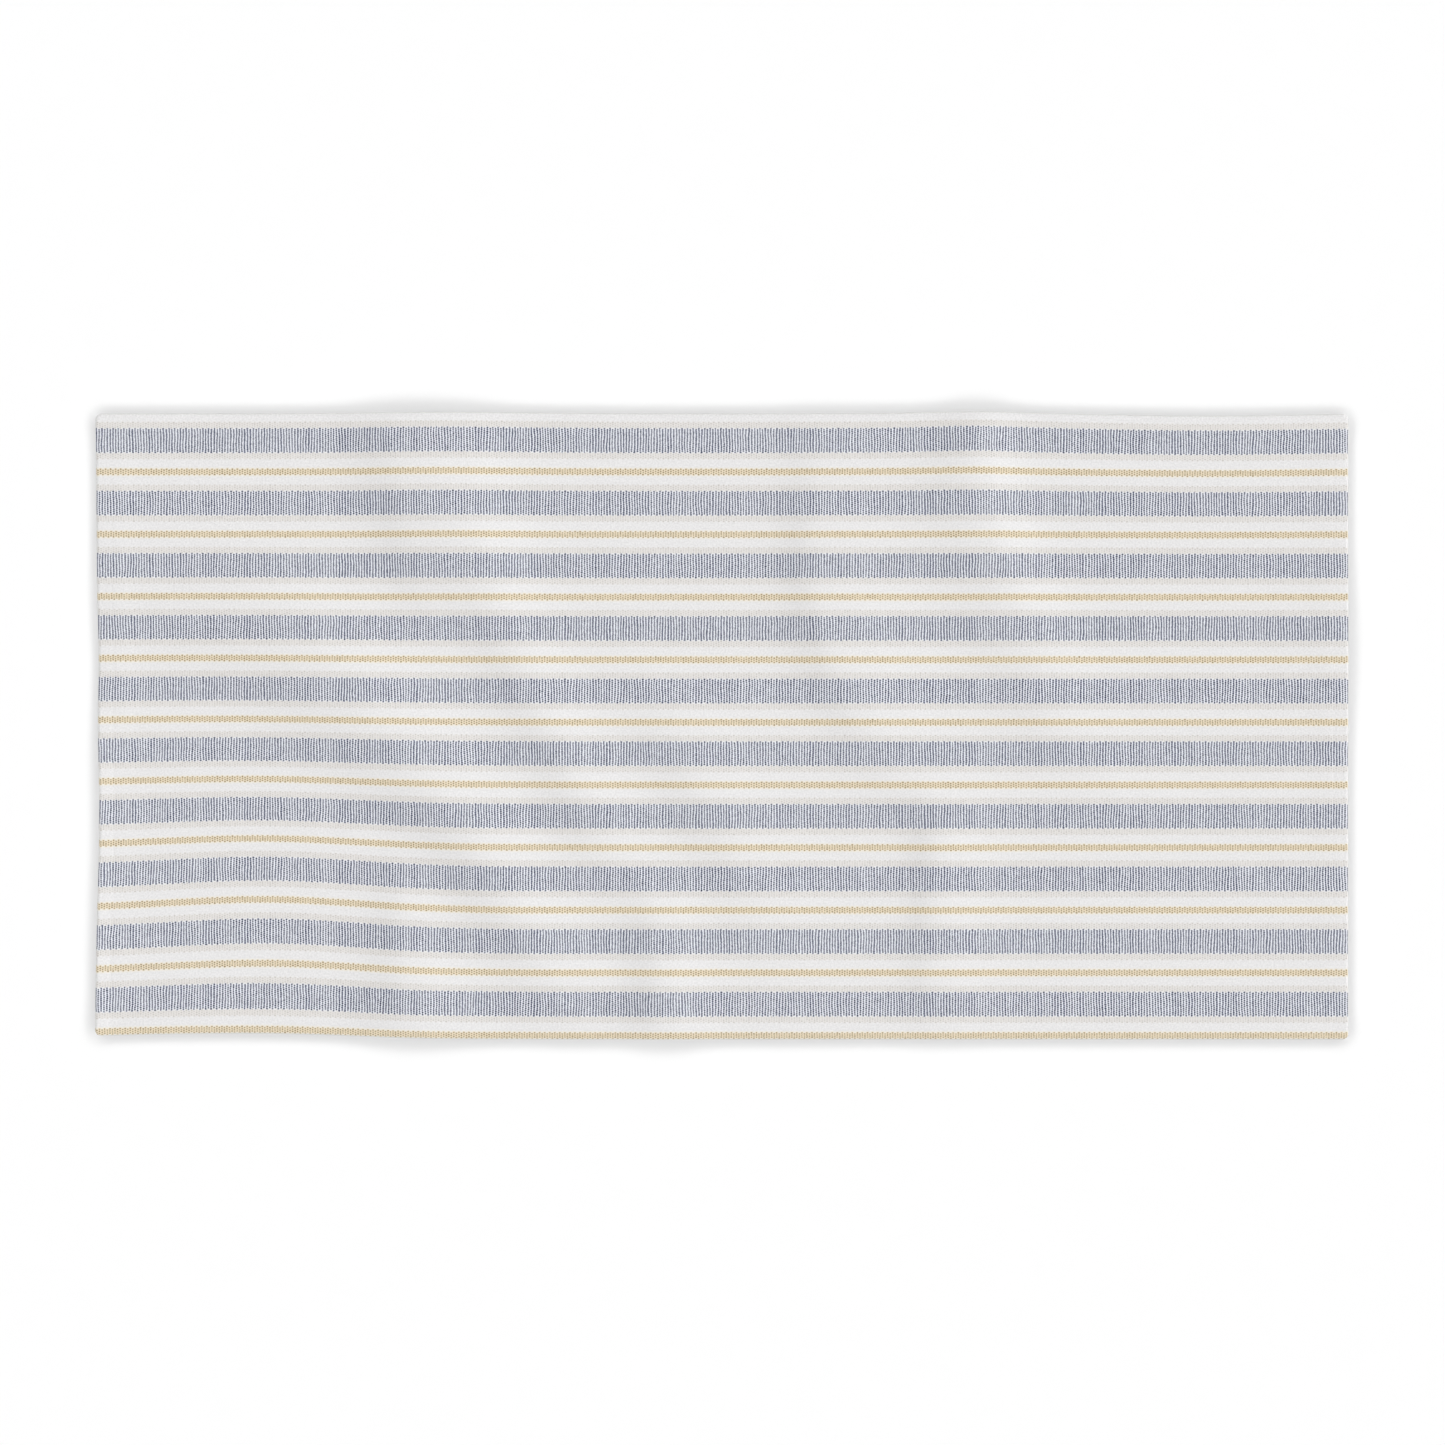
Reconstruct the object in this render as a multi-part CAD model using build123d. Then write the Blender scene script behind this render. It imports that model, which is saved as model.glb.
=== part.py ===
from build123d import *
import os

# Golf towel, lying flat with its printed face up. Millimetres.
# +X runs along the length, +Y across the width and +Z up out of the printed face.
# The origin is at the centre of the underside.

# Outline
towel_length = 1016.0
towel_width = 508.0
corner_radius = 5.0

# Layers of the cloth, from the underside up
loop_height = 2.0
ground_thickness = 0.8
pile_height = 1.6
pile_edge_radius = 1.4
fold_edge_radius = 1.7

# Hems, turned to the back along all four edges
end_hem_width = 14.0
side_hem_width = 10.0
stitch_inset = 2.0

# Sewing thread, sunk in a channel of the cloth on each side
thread_radius = 0.22
channel_width = 0.8
channel_depth = 0.5
thread_clearance = 0.05
row_end_gap = 3.0

# Rows that close the open ends of the two end hems
closing_row_inset = 4.0
closing_row_length = 7.0

# Care label, a folded blank ribbon caught by the right end hem
label_width = 26.0
label_free_length = 38.0
label_tuck = 7.0
label_thickness = 0.5
label_slit = 0.1
label_z = 0.9
label_clearance = 0.05
label_y = 120.0

half_length = towel_length / 2
half_width = towel_width / 2
top_z = loop_height + ground_thickness + pile_height


def towel_plate(bottom_z, height):
    """A layer of the cloth with the towel's full outline."""
    outline = RectangleRounded(towel_length, towel_width, corner_radius)
    return Pos(0, 0, bottom_z) * extrude(outline, height)


def box_between(low, high):
    """A box from its lowest to its highest corner."""
    size = [b - a for a, b in zip(low, high)]
    middle = [(a + b) / 2 for a, b in zip(low, high)]
    return Pos(*middle) * Box(*size)


# Each row of stitching: its two ends on the towel, as X and Y
end_row_x = half_length - end_hem_width + stitch_inset
side_row_y = half_width - side_hem_width + stitch_inset
end_row_half = half_width - row_end_gap
side_row_half = end_row_x - row_end_gap
hem_rows = {
    "left_end": ((-end_row_x, -end_row_half), (-end_row_x, end_row_half)),
    "right_end": ((end_row_x, -end_row_half), (end_row_x, end_row_half)),
    "near_side": ((-side_row_half, -side_row_y), (side_row_half, -side_row_y)),
    "far_side": ((-side_row_half, side_row_y), (side_row_half, side_row_y)),
}


def thread(start, end, z):
    """A straight run of sewing thread between two places, its axis at height z."""
    run = Line((*start, z), (*end, z))
    return sweep(Plane(origin=run @ 0, z_dir=run % 0) * Circle(thread_radius), run)


def channel(start, end, low_z, high_z):
    """The channel that a row of stitching presses into the cloth."""
    margin = channel_width / 2
    low = (min(start[0], end[0]) - margin, min(start[1], end[1]) - margin, low_z)
    high = (max(start[0], end[0]) + margin, max(start[1], end[1]) + margin, high_z)
    return box_between(low, high)


def face_thread_z():
    """Height of a needle thread's axis: just above the floor of its channel."""
    return top_z - channel_depth + thread_clearance + thread_radius


def back_thread_z():
    """Height of a bobbin thread's axis: just above the plane that the towel lies on."""
    return thread_clearance + thread_radius


def make_face_pile():
    """Sheared velour that carries the print, rounded over at the towel's edge."""
    plate = towel_plate(loop_height + ground_thickness, pile_height)
    pile = fillet(plate.faces().sort_by(Axis.Z)[-1].edges(), pile_edge_radius)
    for start, end in hem_rows.values():
        pile -= channel(start, end, top_z - channel_depth, top_z)
    return pile


def make_ground_cloth():
    """Woven ground that holds the pile above it and the loops below it."""
    return towel_plate(loop_height, ground_thickness)


def make_under_layer():
    """Everything under the ground cloth, before it is cut into hems and loops."""
    plate = towel_plate(0, loop_height)
    return fillet(plate.faces().sort_by(Axis.Z)[0].edges(), fold_edge_radius)


def closing_rows():
    """The four short rows across the open ends of the end hems."""
    outer_x = half_length - row_end_gap
    row_y = half_width - closing_row_inset
    rows = []
    for x_side in (-1, 1):
        for y_side in (-1, 1):
            start = (x_side * (outer_x - closing_row_length), y_side * row_y)
            rows.append((start, (x_side * outer_x, y_side * row_y)))
    return rows


def label_pocket():
    """The room that the care label takes in the loops, open to the underside."""
    inner_x = half_length - end_hem_width
    side = label_width / 2 + label_clearance
    low = (inner_x - label_free_length - label_clearance, label_y - side, 0)
    high = (inner_x, label_y + side, label_z + label_thickness + label_clearance)
    return box_between(low, high)


def label_slot():
    """The slot inside the right end hem that takes the label's tail."""
    inner_x = half_length - end_hem_width
    side = label_width / 2 + label_clearance
    low = (inner_x, label_y - side, label_z - label_clearance)
    high = (
        inner_x + label_tuck + label_clearance,
        label_y + side,
        label_z + label_thickness + label_clearance,
    )
    return box_between(low, high)


def make_hems(under_layer):
    """The four hems. The end hems run the full width and the side hems lie between them."""
    inner_x = half_length - end_hem_width
    inner_y = half_width - side_hem_width
    zones = {
        "left_end": ((-half_length, -half_width), (-inner_x, half_width)),
        "right_end": ((inner_x, -half_width), (half_length, half_width)),
        "near_side": ((-inner_x, -half_width), (inner_x, -inner_y)),
        "far_side": ((-inner_x, inner_y), (inner_x, half_width)),
    }
    hems = {}
    for name, (low, high) in zones.items():
        hem = under_layer & box_between((*low, 0), (*high, loop_height))
        start, end = hem_rows[name]
        hem -= channel(start, end, 0, channel_depth)
        if name.endswith("end"):
            for row_start, row_end in closing_rows():
                hem -= channel(row_start, row_end, 0, channel_depth)
        hems[name] = hem
    hems["right_end"] -= label_slot()
    return hems


def make_back_loops():
    """Terry loops on the back, inside the hems, pressed flat where the label lies."""
    inner_x = half_length - end_hem_width
    inner_y = half_width - side_hem_width
    loops = box_between((-inner_x, -inner_y, 0), (inner_x, inner_y, loop_height))
    return loops - label_pocket()


def make_closing_stitches():
    """Bobbin-side thread of the four closing rows, one solid each."""
    runs = [thread(start, end, back_thread_z()) for start, end in closing_rows()]
    return Compound(children=runs)


def make_care_label():
    """Blank ribbon folded in two, with its fold at the free end and its tail in the hem."""
    inner_x = half_length - end_hem_width
    low = (inner_x - label_free_length, label_y - label_width / 2, label_z)
    high = (inner_x + label_tuck, label_y + label_width / 2, label_z + label_thickness)
    ribbon = box_between(low, high)
    fold_edges = ribbon.faces().sort_by(Axis.X)[0].edges().filter_by(Axis.Y)
    ribbon = fillet(fold_edges, label_thickness * 0.49)
    middle_z = label_z + label_thickness / 2
    slit_low = (low[0] + label_thickness, low[1], middle_z - label_slit / 2)
    slit_high = (high[0], high[1], middle_z + label_slit / 2)
    return ribbon - box_between(slit_low, slit_high)


def make_parts():
    """Every piece of the towel by name."""
    pieces = {
        "ground_cloth": make_ground_cloth(),
        "face_pile": make_face_pile(),
        "back_loops": make_back_loops(),
    }
    for name, hem in make_hems(make_under_layer()).items():
        pieces[f"{name}_hem"] = hem
    for name, (start, end) in hem_rows.items():
        pieces[f"{name}_needle_thread"] = thread(start, end, face_thread_z())
        pieces[f"{name}_bobbin_thread"] = thread(start, end, back_thread_z())
    pieces["closing_stitches"] = make_closing_stitches()
    pieces["care_label"] = make_care_label()
    return pieces


os.makedirs("parts", exist_ok=True)
for node, shape in make_parts().items():
    export_step(shape, f"parts/{node}.step")
    box = shape.bounding_box()
    print(f"{node:26s} volume {shape.volume:12.1f}  z {box.min.Z:6.2f} to {box.max.Z:6.2f}")
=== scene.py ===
import math

import bpy
import numpy as np
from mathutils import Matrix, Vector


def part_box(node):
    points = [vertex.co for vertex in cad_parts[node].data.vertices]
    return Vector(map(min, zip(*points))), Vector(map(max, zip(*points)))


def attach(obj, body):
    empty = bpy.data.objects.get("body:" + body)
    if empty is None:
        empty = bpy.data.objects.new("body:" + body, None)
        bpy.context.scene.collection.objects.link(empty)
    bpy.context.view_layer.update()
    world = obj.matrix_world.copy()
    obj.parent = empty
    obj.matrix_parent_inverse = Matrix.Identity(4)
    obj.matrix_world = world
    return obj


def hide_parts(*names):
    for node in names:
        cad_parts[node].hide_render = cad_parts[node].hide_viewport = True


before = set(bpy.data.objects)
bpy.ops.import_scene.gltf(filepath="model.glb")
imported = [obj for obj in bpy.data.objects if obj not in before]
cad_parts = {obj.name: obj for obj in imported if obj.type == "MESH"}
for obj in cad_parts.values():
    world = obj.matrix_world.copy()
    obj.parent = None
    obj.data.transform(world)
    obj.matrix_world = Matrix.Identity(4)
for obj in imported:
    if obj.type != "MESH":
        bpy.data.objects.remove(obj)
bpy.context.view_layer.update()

# Golf towel laid flat, printed face up. Every piece is made flat, in the frame's own
# coordinates and in metres, and lay() then gives it the towel's folds.

mm = 0.001
body = "root"

# ---------------------------------------------------------------- sizes, from the frame

face_low, face_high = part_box("face_pile")
ground_low, ground_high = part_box("ground_cloth")
loops_low, loops_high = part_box("back_loops")
half_length, half_width, face_top = face_high
pile_thickness = face_high[2] - face_low[2]
loop_thickness = loops_high[2] - loops_low[2]
end_hem_width = half_length - loops_high[0]
side_hem_width = half_width - loops_high[1]
end_row_low, end_row_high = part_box("right_end_needle_thread")
side_row_low, side_row_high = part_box("far_side_needle_thread")
end_row_x = (end_row_low[0] + end_row_high[0]) / 2
side_row_y = (side_row_low[1] + side_row_high[1]) / 2
thread_radius = (side_row_high[1] - side_row_low[1]) / 2

# The corner's radius is the CAD model's. The edge rolls nearly half a turn round.
corner_radius = 5 * mm
roll_radius = face_top / 2
roll_angle = math.radians(168)
roll_length = roll_radius * roll_angle

# ---------------------------------------------------------------- how the towel lies

# Each fold is a list of stations down its crest: Y, X, height, and how far it falls away
# to the left and to the right, in millimetres.
FOLDS = {
    "upper_left": [
        (256, -268, 5.3, 32, 70),
        (172, -254, 5.5, 30, 64),
        (107, -238, 4.1, 26, 60),
        (45, -218, 0.0, 26, 60),
    ],
    "upper_left_shoulder": [
        (256, -212, 2.4, 60, 26),
        (200, -206, 2.9, 60, 26),
        (140, -196, 1.9, 50, 28),
        (80, -180, 0.0, 40, 28),
    ],
    "long_diagonal": [
        (175, -400, 0.0, 70, 40),
        (120, -372, 3.6, 80, 44),
        (80, -345, 6.7, 80, 46),
        (40, -312, 8.2, 60, 46),
        (-23, -260, 8.4, 50, 42),
        (-80, -212, 7.9, 38, 36),
        (-153, -170, 6.0, 34, 34),
        (-218, -134, 3.1, 32, 34),
        (-262, -112, 1.7, 32, 34),
    ],
    "middle_left": [
        (220, -216, 0.0, 60, 30),
        (160, -200, 2.9, 46, 30),
        (82, -178, 4.8, 28, 30),
        (1, -142, 5.3, 27, 30),
        (-72, -108, 4.8, 26, 30),
        (-128, -84, 2.2, 26, 30),
        (-177, -68, 0.0, 26, 30),
    ],
    "lower_middle": [
        (-85, -66, 0.0, 20, 34),
        (-128, -58, 2.2, 20, 32),
        (-193, -51, 5.0, 23, 32),
        (-258, -49, 6.7, 26, 32),
    ],
    "faint_middle": [
        (85, -84, 0.0, 40, 40),
        (30, -56, 1.9, 34, 42),
        (-7, -38, 3.1, 28, 40),
        (-60, -14, 4.3, 28, 40),
        (-100, 8, 4.1, 28, 46),
        (-150, 28, 2.4, 30, 46),
        (-226, 50, 0.7, 26, 42),
    ],
    "upper_middle": [
        (256, 74, 1.9, 26, 110),
        (212, 78, 3.6, 24, 110),
        (115, 76, 6.0, 24, 76),
        (26, 102, 5.5, 26, 46),
        (-31, 134, 3.4, 26, 44),
        (-88, 176, 1.2, 28, 44),
        (-145, 200, 0.0, 30, 44),
    ],
    "lower_right": [
        (-30, 164, 0.0, 19, 38),
        (-80, 172, 3.8, 19, 34),
        (-128, 172, 4.3, 18, 34),
        (-200, 170, 3.4, 18, 36),
        (-258, 170, 1.7, 18, 38),
    ],
    "upper_right": [
        (256, 206, 6.5, 26, 25),
        (196, 209, 7.7, 44, 26),
        (131, 224, 7.2, 50, 29),
        (74, 246, 5.5, 44, 36),
        (20, 266, 4.1, 36, 44),
        (-31, 290, 2.4, 36, 48),
        (-85, 330, 0.7, 44, 48),
        (-130, 345, 0.0, 44, 48),
    ],
    "lower_left": [
        (-88, -260, 0.0, 18, 24),
        (-128, -260, 2.4, 20, 26),
        (-193, -258, 4.8, 26, 36),
        (-258, -254, 6.7, 40, 46),
    ],
}

# Where the cloth was pushed along the surface it lies on: centre X and Y, how far the push
# reaches in X and Y, and how far it moves the cloth in X and Y, in millimetres.
PUSHES = [
    (-365, -165, 100, 115, 0.0, 6.6),
    (-440, -85, 170, 150, 0.0, 3.2),
    (-480, -250, 90, 60, 0.0, 1.8),
    (-215, 245, 90, 80, 0.0, 1.0),
    (205, 245, 60, 60, 0.0, 1.6),
    (395, 250, 95, 80, 0.0, -1.8),
    (-508, -78, 60, 75, 2.2, 0.0),
    (-508, 55, 60, 45, 1.5, 0.0),
    (-508, 254, 60, 70, -0.9, 0.0),
    (-508, -254, 60, 90, -1.0, 0.0),
]

# How the cloth is raised apart from its folds, in millimetres. First its slow ripples.
RIPPLE_HEIGHT = 0.35
# The stiff side hems hold down this share of the folds, less and less over this width
STIFF_HEM_SHARE, STIFF_HEM_REACH = 0.45, 22
# The left hem's curl: its height, its width, the Y where it starts and its ramp's length
LEFT_CURL, LEFT_CURL_REACH = 1.4, 15
LEFT_CURL_TOP, LEFT_CURL_LENGTH = 60, 120
# The climb to the right hem: its height, its middle and reach in Y, its start and ramp in X
RIGHT_CLIMB, RIGHT_CLIMB_Y, RIGHT_CLIMB_LENGTH = 2.2, 66, 62
RIGHT_CLIMB_START, RIGHT_CLIMB_REACH = 420, 80

# How far the hems raise the face, and how deep and wide the stitching draws the cloth in
END_HEM_RISE = 0.7 * mm
SIDE_HEM_RISE = 1.6 * mm
HEM_RAMP = 22 * mm
SEAM_DIP = 0.15 * mm
BACK_SEAM_DIP = 0.4 * mm
SEAM_HALF_WIDTH = 1.1 * mm


def ease(share):
    """A smooth step from 0 to 1 as share goes from 0 to 1."""
    share = np.clip(share, 0, 1)
    return share * share * (3 - 2 * share)


def through(stations, place):
    """Smooth curves through stations, each a place and the values there."""
    stations = np.array(sorted(stations), dtype=float)
    places, values = stations[:, 0], stations[:, 1:]
    slopes = np.gradient(values, places, axis=0)
    # The second station value is a height, which starts and ends level
    slopes[[0, -1], 1] = 0
    place = np.clip(place, places[0], places[-1])
    before = np.clip(np.searchsorted(places, place) - 1, 0, len(places) - 2)
    span = (places[before + 1] - places[before])[..., None]
    t = (place - places[before])[..., None] / span
    return (
        values[before] * (1 - t) ** 2 * (1 + 2 * t)
        + values[before + 1] * t**2 * (3 - 2 * t)
        + slopes[before] * span * t * (1 - t) ** 2
        - slopes[before + 1] * span * t**2 * (1 - t)
    )


def fold_height(stations, x, y):
    """Height of one fold over the flat place x, y. All in millimetres."""
    crest, height, left, right = np.moveaxis(through(stations, y), -1, 0)
    lean = (through(stations, y + 1)[..., 0] - through(stations, y - 1)[..., 0]) / 2
    across = (x - crest) / np.hypot(1, lean)
    width = np.where(across < 0, left, right)
    return np.maximum(height, 0) * np.exp(-((across / width) ** 2))


def ripple(x, y):
    """Slow unevenness of cloth that was smoothed out by hand, from 0 to 1.

    Four waves of unlike lengths, in millimetres, so that no pattern shows.
    """
    waves = (
        np.sin(x / 61 + 0.9 * np.sin(y / 83))
        + np.sin(y / 47 + 1.3 + 0.7 * np.sin(x / 97))
        + np.sin((x + y) / 53 + 2.1)
        + np.sin((x - 1.4 * y) / 71 + 4.0)
    )
    return waves / 8 + 0.5


def pucker(along):
    """How unevenly a seam draws its cloth in along its length, from 0 to 1.

    Three short waves, in millimetres.
    """
    waves = np.sin(along / 2.1) + np.sin(along / 3.4 + 1.0) + np.sin(along / 5.3 + 2.6)
    return waves / 6 + 0.5


def pull_of(along):
    """The share of a seam's full depth at a place along it, from 0.6 to 1."""
    return 0.6 + 0.4 * pucker(along)


def lift_of(x, y):
    """How far the whole cloth is raised at the flat place x, y."""
    x, y = x / mm, y / mm
    height = RIPPLE_HEIGHT * ripple(x, y)
    folds = sum(fold_height(stations, x, y) for stations in FOLDS.values())
    # The side hems are stiffer than the cloth, so the folds are lower there
    from_side_edge = half_width / mm - np.abs(y)
    near_hem = ease(1 - from_side_edge / STIFF_HEM_REACH)
    height = height + folds * (1 - STIFF_HEM_SHARE * near_hem)
    # The left hem curls up along its lower half
    from_left_edge = x + half_length / mm
    low_down = ease((LEFT_CURL_TOP - y) / LEFT_CURL_LENGTH)
    height = height + LEFT_CURL * low_down * ease(1 - from_left_edge / LEFT_CURL_REACH)
    # The cloth climbs towards a stretch of the right hem
    climb = np.exp(-(((y - RIGHT_CLIMB_Y) / RIGHT_CLIMB_LENGTH) ** 2))
    near_right = ease((x - RIGHT_CLIMB_START) / RIGHT_CLIMB_REACH)
    height = height + RIGHT_CLIMB * climb * near_right
    return height * mm


def hem_rise_of(x, y):
    """How much thicker the towel is over its hems than inside them."""
    end = ease((np.abs(x) - half_length + end_hem_width) / HEM_RAMP + 1)
    side = ease((np.abs(y) - half_width + side_hem_width) / HEM_RAMP + 1)
    return np.maximum(END_HEM_RISE * end, SIDE_HEM_RISE * side)


def seam_dip_of(x, y):
    """Depth of the line that each row of stitching pulls into the cloth."""
    across_end = (np.abs(x) - end_row_x) / SEAM_HALF_WIDTH
    across_side = (np.abs(y) - side_row_y) / SEAM_HALF_WIDTH
    end = np.exp(-(across_end**2)) * pull_of(y / mm)
    side = np.exp(-(across_side**2)) * pull_of(x / mm)
    side = np.where(np.abs(x) < end_row_x, side, 0)
    return SEAM_DIP * np.maximum(end, side)


def lay(points):
    """Takes points of the flat towel to where they lie."""
    x, y, z = points.T
    through_cloth = np.clip(z / loop_thickness, 0, 1)
    on_face = np.clip((z - loop_thickness) / (face_top - loop_thickness), 0, 1)
    new_z = z + lift_of(x, y) + through_cloth * hem_rise_of(x, y)
    new_z = new_z - on_face * seam_dip_of(x, y)
    new_x, new_y = x.copy(), y.copy()
    for centre_x, centre_y, reach_x, reach_y, move_x, move_y in PUSHES:
        away = ((x / mm - centre_x) / reach_x) ** 2 + ((y / mm - centre_y) / reach_y) ** 2
        share = np.exp(-away) * mm
        new_x = new_x + move_x * share
        new_y = new_y + move_y * share
    return np.column_stack([new_x, new_y, new_z])


# ---------------------------------------------------------------- meshes

FLAT = "flat_place"


def new_piece(name, points, faces, material, flat):
    """A piece from flat points. flat is each point's place on the printed cloth, X and Y."""
    mesh = bpy.data.meshes.new(name)
    mesh.from_pydata(lay(points).tolist(), [], faces)
    place = mesh.uv_layers.new(name=FLAT)
    corners = np.empty(len(mesh.loops), dtype=np.int32)
    mesh.loops.foreach_get("vertex_index", corners)
    place.data.foreach_set("uv", flat[corners].astype(np.float32).ravel())
    mesh.polygons.foreach_set("use_smooth", [True] * len(mesh.polygons))
    mesh.materials.append(material)
    mesh.update()
    piece = bpy.data.objects.new(name, mesh)
    bpy.context.scene.collection.objects.link(piece)
    return piece


def grid_faces(columns, rows, first, upward):
    """Quads of a grid of points numbered row by row from first."""
    number = first + np.arange(columns * rows).reshape(rows, columns)
    quads = [number[:-1, :-1], number[:-1, 1:], number[1:, 1:], number[1:, :-1]]
    if not upward:
        quads.reverse()
    return np.stack(quads, axis=-1).reshape(-1, 4).tolist()


def border(columns, rows, first):
    """The outermost points of a grid in order, anticlockwise seen from above."""
    number = first + np.arange(columns * rows).reshape(rows, columns)
    sides = [number[0, :-1], number[:-1, -1], number[-1, :0:-1], number[:0:-1, 0]]
    return np.concatenate(sides).tolist()


def two_sided(fine_x, fine_y, step, fine_side, coarse_side, fine_is_top):
    """A closed sheet: a fine grid on one side and every step-th line of it on the other.

    Each side is a function from flat grid places to points. Returns points, faces and the
    grid place of each point.
    """
    coarse_x, coarse_y = fine_x[::step], fine_y[::step]
    fine_place = np.stack(np.meshgrid(fine_x, fine_y), axis=-1).reshape(-1, 2)
    coarse_place = np.stack(np.meshgrid(coarse_x, coarse_y), axis=-1).reshape(-1, 2)
    points = np.concatenate([fine_side(fine_place), coarse_side(coarse_place)])
    first = len(fine_place)
    faces = grid_faces(len(fine_x), len(fine_y), 0, fine_is_top)
    faces += grid_faces(len(coarse_x), len(coarse_y), first, not fine_is_top)
    fine_border = border(len(fine_x), len(fine_y), 0)
    coarse_border = border(len(coarse_x), len(coarse_y), first)
    fine_border.append(fine_border[0])
    coarse_border.append(coarse_border[0])
    for k in range(len(coarse_border) - 1):
        fine_run = fine_border[k * step : (k + 1) * step + 1]
        rim = fine_run[::-1] + coarse_border[k : k + 2]
        faces.append(rim if fine_is_top else rim[::-1])
    return points, faces, np.concatenate([fine_place, coarse_place])


def spread_lines(half, edge_band, edge_step, inner_step, step):
    """Grid lines from -half to half, closer together in a band at each edge.

    The number of gaps in each stretch is a multiple of step.
    """
    edge_gaps = step * math.ceil(edge_band / edge_step / step)
    inner_gaps = step * math.ceil(2 * (half - edge_band) / inner_step / step)
    inner_edge = half - edge_band
    left = np.linspace(-half, -inner_edge, edge_gaps + 1)
    middle = np.linspace(-inner_edge, inner_edge, inner_gaps + 1)
    right = np.linspace(inner_edge, half, edge_gaps + 1)
    return np.concatenate([left[:-1], middle, right[1:]])


# ---------------------------------------------------------------- the rolled edge

# The face wraps round the towel's edge. Its flat outline is larger than the towel's by the
# length of the roll, and a point beyond the start of the roll goes round it.
arc_x, arc_y = half_length - corner_radius, half_width - corner_radius
flat_arc = corner_radius - roll_radius
outer_arc = flat_arc + roll_length


def rounded(places, radius):
    """Takes a rectangular grid to a rectangle with rounded corners of that radius."""
    sign, size = np.sign(places), np.abs(places)
    a = (size[:, 0] - arc_x) / radius
    b = (size[:, 1] - arc_y) / radius
    corner = (a > 0) & (b > 0)
    a_in, b_in = np.where(corner, a, 0), np.where(corner, b, 0)
    new_a = np.where(corner, a_in * np.sqrt(1 - b_in**2 / 2), a)
    new_b = np.where(corner, b_in * np.sqrt(1 - a_in**2 / 2), b)
    return sign * np.column_stack([arc_x + new_a * radius, arc_y + new_b * radius])


def wrapped(places, depth):
    """Points of the face at that depth below its surface, rolled round the edge."""
    sign = np.sign(places)
    beyond = np.maximum(np.abs(places) - [arc_x, arc_y], 0)
    reach = np.linalg.norm(beyond, axis=1)
    outward = sign * beyond / np.maximum(reach, 1e-9)[:, None]
    rolled = np.maximum(reach - flat_arc, 0)
    angle = rolled / roll_radius
    radius = roll_radius - depth
    moved = radius * np.sin(angle) - rolled
    xy = places + outward * moved[:, None]
    z = face_top - roll_radius + radius * np.cos(angle)
    return np.column_stack([xy, z])


def make_face(material):
    """The printed velour: one sheet whose edge rolls over and under."""
    step = 2
    edge_step, inner_step = 0.85 * mm, 3.2 * mm
    past_hem = 7 * mm
    roll_out = outer_arc - corner_radius
    fine_x = spread_lines(
        half_length + roll_out, end_hem_width + past_hem, edge_step, inner_step, step
    )
    fine_y = spread_lines(
        half_width + roll_out, side_hem_width + past_hem, edge_step, inner_step, step
    )
    points, faces, places = two_sided(
        fine_x,
        fine_y,
        step,
        lambda place: wrapped(rounded(place, outer_arc), 0),
        lambda place: wrapped(rounded(place, outer_arc), pile_thickness),
        True,
    )
    return new_piece("towel_face", points, faces, material, rounded(places, outer_arc))


def make_ground(material):
    """The woven ground between the face and the loops."""
    inset = roll_radius - pile_thickness / 2
    clear = 0.05 * mm
    edge_band, edge_step, inner_step = 6 * mm, 2 * mm, 4.5 * mm
    lines_x = spread_lines(half_length - inset, edge_band, edge_step, inner_step, 1)
    lines_y = spread_lines(half_width - inset, edge_band, edge_step, inner_step, 1)

    def at_height(height):
        def side(place):
            outline = rounded(place, corner_radius - inset)
            return np.column_stack([outline, np.full(len(place), height)])

        return side

    points, faces, places = two_sided(
        lines_x,
        lines_y,
        1,
        at_height(ground_high[2] - clear),
        at_height(ground_low[2] + clear),
        True,
    )
    return new_piece("towel_ground", points, faces, material, places)


# ---------------------------------------------------------------- terry back and label

label_low, label_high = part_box("care_label")
label_middle_y = (label_low[1] + label_high[1]) / 2


def make_back_loops(material):
    """Terry loops: a sheet whose underside stands out loop by loop."""
    seed = 7
    rng = np.random.default_rng(seed)
    step = 6
    spacing_x, spacing_y = 2.7 * mm, 2.5 * mm
    clear, edge_band = 0.2 * mm, 12 * mm
    fine_x = spread_lines(loops_high[0] - clear, edge_band, spacing_x, spacing_x, step)
    fine_y = spread_lines(loops_high[1] - clear, edge_band, spacing_y, spacing_y, step)
    lowest, hollow_depth, uneven = 0.1 * mm, 0.7 * mm, 0.35 * mm
    label_margin, label_room = 2 * mm, 0.15 * mm
    columns = len(fine_x)

    def underside(place):
        number = np.arange(len(place))
        row, column = number // columns, number % columns
        hollow = (row + column) % 2
        height = lowest + hollow_depth * hollow + uneven * rng.random(len(place))
        # The loops are pressed flat under the label
        inside_x = place[:, 0] - (label_low[0] - label_margin)
        inside_y = label_high[1] - label_middle_y + label_margin
        inside_y = inside_y - np.abs(place[:, 1] - label_middle_y)
        pressed = ease(inside_x / label_margin) * ease(inside_y / label_margin)
        height = height + pressed * (label_high[2] + label_room - height)
        return np.column_stack([place, height])

    def top(place):
        return np.column_stack([place, np.full(len(place), loop_thickness)])

    points, faces, places = two_sided(
        fine_x, fine_y, step, underside, top, fine_is_top=False
    )
    return new_piece("towel_back_loops", points, faces, material, places)


# Points round a fold that turns the cloth or the ribbon back on itself
FOLD_POINTS = 9


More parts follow.
